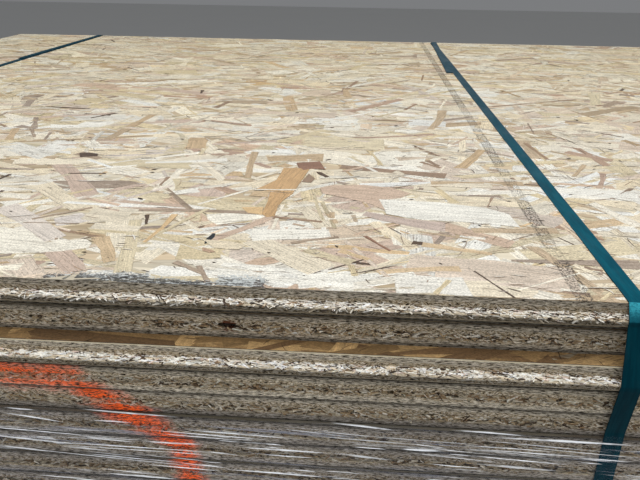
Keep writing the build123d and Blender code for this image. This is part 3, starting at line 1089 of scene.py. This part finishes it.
# Painted shadow along the edges of the flakes: dark lines for the shade in the gaps between them, some with
# a pale line beside them as a painted highlight on the lit lip
def layCrevices(bed, x, y, z, length, width, angle):
    rng = bed.rng
    for side in (-1, 1):
        if rng.random() > 0.85:
            continue
        along = rng.uniform(-0.4, 0.4) * length
        out = side * width * rng.uniform(0.42, 0.5)
        px, py = turned(x, y, along, out, angle)
        turn = angle + rng.gauss(0, 0.12)
        size = length * rng.uniform(0.05, 0.36)
        wide = rng.uniform(0.0003, 0.0012)
        bow = rng.uniform(-0.13, 0.13) * size
        bed.line(px, py, size, wide, turn, pickTint(rng, topFlakes["shadowLineTints"], 0.12), z + 0.00022, bow)
        # Painted highlight: a pale line beside the dark one
        if rng.random() < 0.4:
            bed.line(px, py + 1.1 * wide, size * 0.8, wide * rng.uniform(0.7, 1.2), turn,
                     tinted(rng, "white", 0.06), z + 0.00024, bow)


# Wide strands below, with painted shadow lines along their edges; between them, cracks drawn as painted
# shadow lines, and dark specks; narrow slivers on top
def layTopFlakes():
    area = (pack["leftEnd"] + 0.0002, pack["rightEnd"] - 0.0002,
            pack["frontFace"] + 0.0001, pack["backFace"] - 0.0002)
    highest = pack["top"] + topFlakes["highest"]
    bed = FlakeBed(11, area)
    lines = FlakeBed(14, area)
    rng = bed.rng
    for k in range(topFlakes["wide"]):
        kind = rng.random()
        width = rng.uniform(*next(sizes for upTo, *sizes in topFlakes["widths"] if kind < upTo))
        length = min(max(rng.gauss(0.084, 0.028), 0.030), 0.150)
        z = pack["top"] + rng.uniform(0.00005, topFlakes["highest"]) * (1.0 - 6.0 * width)
        x, y = bed.anywhere()
        angle = flakeAngle(rng, topFlakes["aligned"], topFlakes["spread"])
        outline = rng.choice(("square", "slanted", "tapered", "ragged", "torn"))
        bed.lay(x, y, z, length, width, angle, outline, pickTint(rng, topFlakes["tints"]),
                tilt=(rng.uniform(-0.0003, 0.0003), rng.uniform(-0.0002, 0.0002)),
                bend=rng.uniform(-0.9, 0.9))
        layCrevices(lines, x, y, z, length, width, angle)
    bed.finish("topStrands", strandMaterial)
    rng = lines.rng
    for k in range(topFlakes["specks"]):
        size = 0.0006 + rng.expovariate(1 / 0.0007)
        lines.line(*lines.anywhere(), size * rng.uniform(1.4, 3.5), size, rng.gauss(0, 0.6),
                   toLinear(topFlakes["speckColour"]), highest + 0.0001)
    # Cracks: thin dark lines of painted shadow
    for k in range(topFlakes["cracks"]):
        size = rng.uniform(0.004, 0.016)
        lines.line(*lines.anywhere(), size, rng.uniform(0.0003, 0.0008), flakeAngle(rng, 0.75, 0.35),
                   pickTint(rng, topFlakes["shadowLineTints"], 0.12), highest + 0.00012,
                   rng.uniform(-0.1, 0.1) * size)
    lines.finish("topCrevices", strandMaterial)
    bed = FlakeBed(12, area)
    rng = bed.rng
    for k in range(topFlakes["slivers"]):
        width = rng.uniform(0.0012, 0.0050)
        length = rng.uniform(0.010, 0.070)
        z = pack["top"] + rng.uniform(0.00015, topFlakes["highest"] + 0.00005)
        bed.lay(*bed.anywhere(), z, length, width, flakeAngle(rng, 0.6, 0.55),
                rng.choice(("plain", "splinter")), pickTint(rng, topFlakes["sliverTints"], 0.08),
                rimWidth=0.0005, tilt=(rng.uniform(-0.0002, 0.0002), 0.0), bend=rng.uniform(-1.2, 1.2))
    laySeenFlakes(bed)
    bed.finish("topSlivers", strandMaterial)


layTopFlakes()

# The strip of the third board's face that stands out under the second; its flakes are tinted dark brown,
# with dark lines among them, as painted shade for its place under the second board
shadedLedgeFlakes = {
    "count": 620,
    "lines": 170,
    "tints": {(184, 151, 103): 4.5, (138, 110, 72): 5.5, (111, 85, 56): 3},
    "lineColour": (66, 48, 32),
}


def layLedgeFlakes():
    area = (pack["leftEnd"] + 0.0005, pack["rightEnd"] - 0.0025,
            pack["frontFace"] - 0.0127, pack["frontFace"] + 0.001)
    bed = FlakeBed(13, area)
    rng = bed.rng
    base = pack["top"] - 2 * pack["thickness"]
    for k in range(shadedLedgeFlakes["count"]):
        colour = rng.choices(list(shadedLedgeFlakes["tints"]), list(shadedLedgeFlakes["tints"].values()))[0]
        gain = rng.uniform(0.80, 1.18)
        bed.lay(rng.uniform(area[0], area[1]), rng.uniform(area[2] - 0.012, area[3] + 0.004),
                base + rng.uniform(0.00004, 0.0003), rng.uniform(0.03, 0.1), rng.uniform(0.008, 0.026),
                flakeAngle(rng, 0.6, 0.6), rng.choice(("square", "slanted", "tapered", "ragged")),
                tuple(v * gain for v in toLinear(colour)), bend=rng.uniform(-0.6, 0.6))
    for k in range(shadedLedgeFlakes["lines"]):
        size = rng.uniform(0.004, 0.014)
        bow = rng.uniform(-0.10, 0.10) * size
        bed.line(*bed.anywhere(), size, rng.uniform(0.0003, 0.0007), flakeAngle(rng, 0.35, 0.3),
                 toLinear(shadedLedgeFlakes["lineColour"]), base + 0.00034, bow)
    bed.finish("shadedLedgeStrands", plainStrandMaterial)


layLedgeFlakes()


# Torn chips that stand up on the milled tongues and in the grooves
class ChipBed:
    def __init__(self, seed):
        self.rng = np.random.default_rng(seed)
        self.corners = []
        self.tints = []

    def scatter(self, look, centre, length, width, along, across, tip, dim):
        rng = self.rng
        count = len(centre)
        half = 0.5 * length[:, None] * along
        side = 0.5 * width[:, None] * across
        narrow = rng.uniform(0.15, 0.8, count)[:, None]
        quad = np.stack([centre - half - side, centre + half - side * narrow,
                         centre + half + side * narrow, centre - half + side], axis=1)
        for strapX in pack["straps"]:
            under = np.abs(quad[..., 0] - strapX + 0.001) < 0.0105
            quad[..., 1] = np.where(under, np.maximum(quad[..., 1], tip), quad[..., 1])
        pick = rng.choice(len(look["tints"]), count, p=np.array(look["weights"]) / sum(look["weights"]))
        colour = np.array([toLinear(tint) for tint in look["tints"]])[pick]
        colour = colour * (1.0 + rng.normal(0, 0.1, count))[:, None] * dim[:, None]
        self.corners.append(quad)
        self.tints.append(np.repeat(colour[:, None, :], 4, axis=1))

    def finish(self, name, material, lowest, highest):
        corners = np.clip(np.concatenate(self.corners), lowest, highest).reshape(-1, 3)
        tints = np.clip(np.concatenate(self.tints).reshape(-1, 3), 0.002, 0.95)
        faces = np.arange(len(corners)).reshape(-1, 4).tolist()
        obj = newPiece(name, corners.tolist(), faces, material)
        setTints(obj.data, tints)
        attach(obj, "root")
        print(name, len(faces), "chips")


def makeChipMaterial(name, specks, sprayed=False):
    material, tree, shader = newMaterial(name)
    tint = attribute(tree, "tint", "Color")
    place = objectPlace(tree)
    fibre = grain(tree, place, (300, 300, 900), 2.0, 0.6)
    colour = multiplied(tree, tint, ramp(tree, fibre, 0.34, 0.66, 0.72, 1.08))
    dots = grain(tree, place, (620, 620, 900), 2.0, 0.6)
    colour = mixColour(tree, mapRange(tree, dots, 0.64, 0.70, 0.0, specks), colour, toLinear((82, 62, 46)))
    if sprayed:
        paint = {"Vector": place, "Relief": fibre, "Fresh": 0.6, "Strength": 0.5}
        colour = addPaint(tree, shader, colour, paint)
    tree.links.new(colour, shader.inputs["Base Color"])
    shader.inputs["Roughness"].default_value = 0.75
    shader.inputs["Specular IOR Level"].default_value = 0.25
    return material


tongueChips = {
    "perTongue": 13000,
    "depth": 0.0078,
    "bevelFrom": 0.0068,
    "shadeFrom": 0.0070,
    "tints": ((250, 246, 236), (236, 228, 212), (220, 204, 178), (230, 208, 194), (150, 124, 96),
              (70, 56, 44)),
    "weights": (37, 23, 11, 4, 7, 21),
}
freshChip = makeChipMaterial("tornFibres", 0.5)


def layTongueChips():
    bed = ChipBed(21)
    rng = bed.rng
    count = tongueChips["perTongue"]
    for number, out in ((1, 0.0), (3, pack["thirdOut"])):
        root = pack["frontFace"] - out
        top = pack["top"] - (number - 1) * pack["thickness"] - tongueChips["depth"]
        x = rng.uniform(pack["leftEnd"] + 0.004, pack["rightEnd"] - 0.004, count)
        inward = rng.uniform(-0.0002, 0.0081, count)
        rise = rng.uniform(0.0001, 0.0007, count) * (1.0 - 0.3 * inward / pack["tongueLength"])
        z = top + rise - np.maximum(inward - tongueChips["bevelFrom"], 0)
        centre = np.stack([x, root - inward, z], 1)
        aligned = rng.random(count) < 0.75
        turn = np.where(aligned, rng.normal(0, 0.45, count), rng.uniform(-1.57, 1.57, count))
        lift = rng.normal(0.0, 0.10, count)
        along = np.stack([np.cos(turn) * np.cos(lift), np.sin(turn) * np.cos(lift), np.sin(lift)], 1)
        roll = rng.normal(0.25, 0.35, count)
        flat = np.stack([-np.sin(turn), np.cos(turn), np.zeros(count)], 1)
        flip = np.where(flat[:, 1] > 0, 1.0, -1.0)[:, None]
        upward = np.array((0, 0, 1.0)) * np.sin(roll)[:, None]
        across = flat * flip * np.cos(roll)[:, None] + upward
        length = np.minimum(rng.gamma(4.0, 0.0012, count) + 0.0015, 0.011)
        width = rng.uniform(0.0004, 0.0014, count)
        # Painted shade: chips past shadeFrom, on the tongue's bevelled tip, are darkened to 0.42
        dim = np.where(inward > tongueChips["shadeFrom"], 0.42, 0.94 if number == 1 else 1.05)
        bed.scatter(tongueChips, centre, length, width, along, across, root - pack["tongueLength"], dim)
    lowest = (pack["leftEnd"] - 0.0075, -0.6396, 0.85)
    highest = (pack["rightEnd"] + 0.0075, pack["frontFace"] - 0.0001, 0.92)
    bed.finish("tongueFibres", freshChip, lowest, highest)


layTongueChips()

grooveChips = {
    "perGroove": {2: 14000, 4: 13000, 5: 12000, 6: 9000, 7: 8000, 8: 7000, 9: 6000},
    "mouth": (0.0068, 0.0132),
    "tints": ((230, 218, 196), (206, 192, 166), (190, 166, 130), (160, 132, 100), (246, 238, 222),
              (80, 64, 50)),
    "weights": (18, 26, 20, 14, 9, 13),
}


def layGrooveChips():
    bed = ChipBed(22)
    rng = bed.rng
    for number, count in grooveChips["perGroove"].items():
        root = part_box("panel_%02d" % number)[0][1]
        top = pack["top"] - (number - 1) * pack["thickness"]
        x = rng.uniform(pack["leftEnd"] + 0.004, pack["rightEnd"] - 0.004, count)
        inward = 0.0001 + 0.0018 * rng.random(count) ** 1.8
        z = top - rng.uniform(*grooveChips["mouth"], count)
        if number == 2:
            sideways = (x - knotHole["x"]) / knotHole["halfLength"]
            fromKnot = np.hypot(sideways, (z - knotHole["z"]) / knotHole["halfHeight"])
            inKnot = fromKnot < rng.uniform(0.9, 1.25, count)
            inward = np.where(inKnot, knotHole["chipDepth"], inward)
        centre = np.stack([x, root + inward, z], 1)
        turn = rng.normal(0, 0.5, count)
        along = np.stack([np.cos(turn), rng.normal(0, 0.12, count), np.sin(turn)], 1)
        across = np.stack([-np.sin(turn), np.full(count, 0.5), np.cos(turn)], 1)
        along /= np.linalg.norm(along, axis=1, keepdims=True)
        across /= np.linalg.norm(across, axis=1, keepdims=True)
        length = np.minimum(rng.gamma(4.0, 0.0009, count) + 0.0012, 0.007)
        width = rng.uniform(0.0004, 0.0013, count)
        # Painted shade: groove chips of lower boards are darkened, to 0.82 on the fifth board and 0.60 below
        # it
        dim = np.full(count, 1.0 if number < 5 else 0.82 if number == 5 else 0.60)
        dim = np.where(inward > 0.005, 0.2, dim)
        bed.scatter(grooveChips, centre, length, width, along, across, root, dim)
    lowest = (pack["leftEnd"], pack["frontFace"] - pack["thirdOut"], 0.70)
    highest = (pack["rightEnd"], pack["frontFace"] + 0.008, 0.92)
    bed.finish("grooveFibres", makeChipMaterial("grooveFibres", 0.4, True), lowest, highest)


layGrooveChips()


# Stretch film: a thin sheet with pulled creases, in place of the plain hoop
filmLook = {
    "front": -0.6324,
    "haze": 0.018,
    "tint": (196, 202, 222),
    # creaseTint and creaseGlow: the creases' painted highlight
    "creaseTint": (250, 252, 255),
    "creaseGlow": 0.26,
    "tufts": 9600,
    "shares": (0.55, 0.25, 0.10, 0.10),
    "corner": 0.0016,
    "step": 0.025,
    "rows": 20,
    "rowHeight": 0.0365,
}

# The longest pulled streaks in the photograph, drawn as painted highlights: both ends in X and Z, width and
# strength
seenStreaks = (
    (-0.743, 0.8215, -0.677, 0.8190, 0.0009, 0.8), (-0.793, 0.8196, -0.772, 0.8187, 0.0008, 0.8),
    (-0.796, 0.8150, -0.754, 0.8095, 0.0008, 0.9), (-0.736, 0.8123, -0.707, 0.8118, 0.0008, 0.7),
    (-0.638, 0.7966, -0.579, 0.7957, 0.0011, 0.9), (-0.731, 0.7677, -0.681, 0.7659, 0.0012, 1.0),
    (-0.649, 0.7770, -0.578, 0.7748, 0.0010, 0.9), (-0.704, 0.7974, -0.661, 0.7975, 0.0010, 0.8),
    (-0.579, 0.8206, -0.537, 0.8170, 0.0012, 1.0), (-0.503, 0.8197, -0.455, 0.8181, 0.0009, 0.9),
    (-0.478, 0.8157, -0.386, 0.8152, 0.0014, 1.0), (-0.534, 0.8023, -0.505, 0.8025, 0.0016, 0.8),
    (-0.488, 0.7938, -0.430, 0.7913, 0.0016, 0.6), (-0.579, 0.7965, -0.537, 0.7928, 0.0014, 0.6),
    (-0.760, 0.7890, -0.726, 0.7871, 0.0009, 0.7), (-0.802, 0.7869, -0.767, 0.7841, 0.0010, 0.8),
    (-0.677, 0.8089, -0.598, 0.8059, 0.0009, 0.8), (-0.661, 0.7916, -0.638, 0.7898, 0.0009, 0.7),
)


def makeFilmMaterial(name, crease):
    material, tree, shader = newMaterial(name)
    place = objectPlace(tree)
    split = splitXyz(tree, place)
    run = plus(tree, split[0], split[1])
    drop = timesPlus(tree, run, 0.045, split[2])
    flat = flatPlace(tree, run, drop)
    bands = grain(tree, flat, (6, 150, 1), 2.0, 0.6)
    streaks = grain(tree, flat, (16, 1500, 1), 2.0, 0.6)
    lines = grain(tree, flat, (11, 800, 1), 2.0, 0.6)
    if crease:
        fade = grain(tree, flat, (70, 400, 1), 2.0, 0.6)
        strength = attribute(tree, "strength", "Fac")
        alpha = times(tree, mapRange(tree, fade, 0.34, 0.56, 0.5, 1.0), strength)
        shader.inputs["Base Color"].default_value = (*toLinear(filmLook["creaseTint"]), 1)
        shader.inputs["Roughness"].default_value = 0.25
        # Painted highlight: the creases glow
        shader.inputs["Emission Color"].default_value = (0.86, 0.93, 1.0, 1)
        shader.inputs["Emission Strength"].default_value = filmLook["creaseGlow"]
    else:
        streak = mapRange(tree, streaks, 0.42, 0.62, 0.10, 0.5)
        band = times(tree, mapRange(tree, bands, 0.58, 0.68), streak)
        alpha = plus(tree, band, mapRange(tree, lines, 0.60, 0.72, 0.0, 0.34))
        alpha = plus(tree, alpha, filmLook["haze"], clamp=True)
        shader.inputs["Base Color"].default_value = (*toLinear(filmLook["tint"]), 1)
        shader.inputs["Roughness"].default_value = 0.3
        addBump(tree, shader, bands, 0.35, 0.0006)
    tree.links.new(alpha, shader.inputs["Alpha"])
    return material


def makeFilm():
    ends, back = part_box("stretch_film")[1][:2]
    front = filmLook["front"]
    bottom, top = pack["filmBottom"], pack["filmTop"]
    rng = random.Random(31)
    corner, step = filmLook["corner"], filmLook["step"]

    def stops(begin, end):
        way = step if end > begin else -step
        return [begin + k * way for k in range(int(abs(end - begin) / step))] + [end]

    path = [(x, front, 0.0, -1.0) for x in stops(-ends + corner, ends - corner)]
    path += [(ends - 0.0001, y, 1.0, 0.0) for y in stops(front + corner, back - corner)]
    path += [(x, back - 0.0001, 0.0, 1.0) for x in stops(ends - corner, -ends + corner)]
    path += [(-ends + 0.0001, y, -1.0, 0.0) for y in stops(back - corner, front + corner)]
    rows = [top - 0.004 - filmLook["rowHeight"] * k for k in range(filmLook["rows"])]
    levels = [top, *rows, bottom]
    verts, faces = [], []
    for row, z in enumerate(levels):
        for x, y, nx, ny in path:
            inward = rng.uniform(0.0, 0.0002)
            edge = 0.0012 * math.sin(x * 9.0 + y * 4.0) - 0.0012 if row == 0 else 0.0
            verts.append((x - nx * inward, y - ny * inward, z + edge))
    n = len(path)
    for row in range(len(levels) - 1):
        for k in range(n):
            a, b = row * n + k, row * n + (k + 1) % n
            faces.append((a, a + n, b + n, b))
    film = newPiece("filmWrap", verts, faces, makeFilmMaterial("stretchFilm", False))
    for polygon in film.data.polygons:
        polygon.use_smooth = True
    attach(film, "root")
    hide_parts("stretch_film")
    print("filmWrap", len(faces), "faces")
    layCreases(front, back, ends, bottom, top)


# Pulled creases: thin slanted ribbons that catch the light, in tufts; their near-white colour and glow are a
# painted highlight
def layCreases(front, back, ends, bottom, top):
    rng = random.Random(33)
    verts, faces, strengths = [], [], []
    # For each side: where it starts, its way along, its level, its way out, its length
    sides = {"front": (-ends, 1, front, -1, 2 * ends),
             "back": (ends, -1, back - 0.0001, 1, 2 * ends),
             "right": (front, 1, ends - 0.0001, 1, back - front),
             "left": (back, -1, -ends + 0.0001, -1, back - front)}

    def ribbon(side, start, z1, length, z2, wide, strength):
        origin, sign, level, outward = sides[side][:4]
        stand = 0.0004 if side == "front" else 0.00009
        base = len(verts)
        bow = rng.uniform(-0.0006, 0.0006)
        for i, t in enumerate((0.0, 0.2, 0.5, 0.8, 1.0)):
            swell = math.sin(math.pi * min(max(t, 0.08), 0.92))
            along = origin + sign * (start + t * length)
            z = z1 + (z2 - z1) * t + bow * swell
            for lift, out in ((0.5 * wide * swell, 0.1 * stand), (-0.5 * wide * swell, stand)):
                spot = (along, level + outward * out)
                verts.append((*(spot if side in ("front", "back") else spot[::-1]), z + lift))
                strengths.append(strength * (0.0 if t in (0.0, 1.0) else 0.75 if t != 0.5 else 1.0))
        for i in range(4):
            a = base + 2 * i
            faces.append((a, a + 1, a + 3, a + 2))

    for k in range(filmLook["tufts"]):
        side = rng.choices(list(sides), filmLook["shares"])[0]
        span = sides[side][4]
        z = rng.uniform(bottom + 0.008, top - 0.003)
        slope = rng.gauss(-0.04, 0.02)
        length = min(0.014 + rng.expovariate(1 / 0.042), 0.28)
        start = rng.uniform(0.006, span - length - 0.006)
        if rng.random() < 0.02:
            wide = rng.uniform(0.0012, 0.0030)
            ribbon(side, start, z, length, z + slope * length, wide, rng.uniform(0.10, 0.3))
            continue
        for i in range(rng.choice((1, 1, 1, 2, 2, 3))):
            size = length * rng.uniform(0.5, 1.0)
            begin = min(max(start + rng.uniform(-0.3, 0.3) * length, 0.005), span - size - 0.005)
            level = min(max(z - i * rng.uniform(0.0018, 0.0042), bottom + 0.006), top - 0.0015)
            wide = rng.uniform(0.00022, 0.00048) if rng.random() < 0.93 else rng.uniform(0.0006, 0.0010)
            drop = min(max(slope * size, bottom + 0.004 - level), top - 0.001 - level)
            ribbon(side, begin, level, size, level + drop, wide, 0.25 + 0.75 * rng.random() ** 1.4)
    for x1, z1, x2, z2, wide, strength in seenStreaks:
        ribbon("front", x1 + ends, z1, x2 - x1, z2, wide, strength)
    creases = newPiece("filmCreases", verts, faces, makeFilmMaterial("filmCreases", True))
    setValues(creases.data, "strength", strengths)
    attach(creases, "root")
    print("filmCreases", len(faces), "faces")


makeFilm()


# Camera, from the photograph's straight edges
cameraSettings = {
    "place": (-0.56897, -0.95776, 1.09193),
    "turns": (("Z", 3.241), ("X", 66.090), ("Z", 0.838)),
    "lens": 36.0,
}


def makeCamera():
    data = bpy.data.cameras.new("viewCamera")
    camera = bpy.data.objects.new("viewCamera", data)
    bpy.context.scene.collection.objects.link(camera)
    data.sensor_width = 36.0
    data.lens = cameraSettings["lens"]
    data.clip_start = 0.02
    data.clip_end = 60.0
    place = Matrix.Translation(cameraSettings["place"])
    for axis, degrees in cameraSettings["turns"]:
        place = place @ Matrix.Rotation(math.radians(degrees), 4, axis)
    camera.matrix_world = place
    bpy.context.scene.camera = camera


makeCamera()

# Floor, sky and lamps: each lamp's name, place, size, power and what it points at
studio = {
    "floorColour": (226, 226, 224),
    "floorSize": 30.0,
    "skyColour": (0.95, 0.97, 1.0, 1.0),
    "skyStrength": 0.21,
    "lamps": (("overheadSoftbox", (-0.4, -0.9, 3.3), 3.2, 86.0, (-0.4, -0.3, 0)),
              ("frontFill", (-0.6, -3.6, 2.2), 2.5, 4.0, (-0.4, -0.6, 0.8)),
              ("backFill", (0.3, 4.2, 1.5), 2.5, 16.0, (0.0, 0.6, 0.4)),
              ("leftFill", (-4.6, 0.6, 1.4), 2.0, 7.0, (-1.4, 0.0, 0.4)),
              ("rightFill", (4.6, 0.6, 1.4), 2.0, 7.0, (1.4, 0.0, 0.4))),
}


def makeStudio():
    bpy.ops.object.select_all(action="DESELECT")
    bpy.ops.mesh.primitive_plane_add(size=studio["floorSize"], location=(0, 0, 0))
    floor = bpy.context.object
    floor.name = "studioFloor"
    material, tree, shader = newMaterial("studioFloor")
    soft = noise(tree, objectPlace(tree), 1.5, 3.0, 0.5)
    base = toLinear(studio["floorColour"])
    shade = mixColour(tree, soft, tuple(0.97 * v for v in base), base)
    tree.links.new(shade, shader.inputs["Base Color"])
    shader.inputs["Roughness"].default_value = 0.9
    floor.data.materials.append(material)
    for name, place, size, power, aim in studio["lamps"]:
        data = bpy.data.lights.new(name, "AREA")
        data.size = size
        data.energy = power
        light = bpy.data.objects.new(name, data)
        light.location = place
        way = Vector(aim) - Vector(place)
        light.rotation_euler = way.to_track_quat("-Z", "Y").to_euler()
        bpy.context.scene.collection.objects.link(light)
    world = bpy.data.worlds.new("softWorld")
    world.use_nodes = True
    background = world.node_tree.nodes["Background"]
    background.inputs[0].default_value = studio["skyColour"]
    background.inputs[1].default_value = studio["skyStrength"]
    bpy.context.scene.world = world
    bpy.context.scene.view_settings.view_transform = "Standard"


makeStudio()
print("camera and studio made")
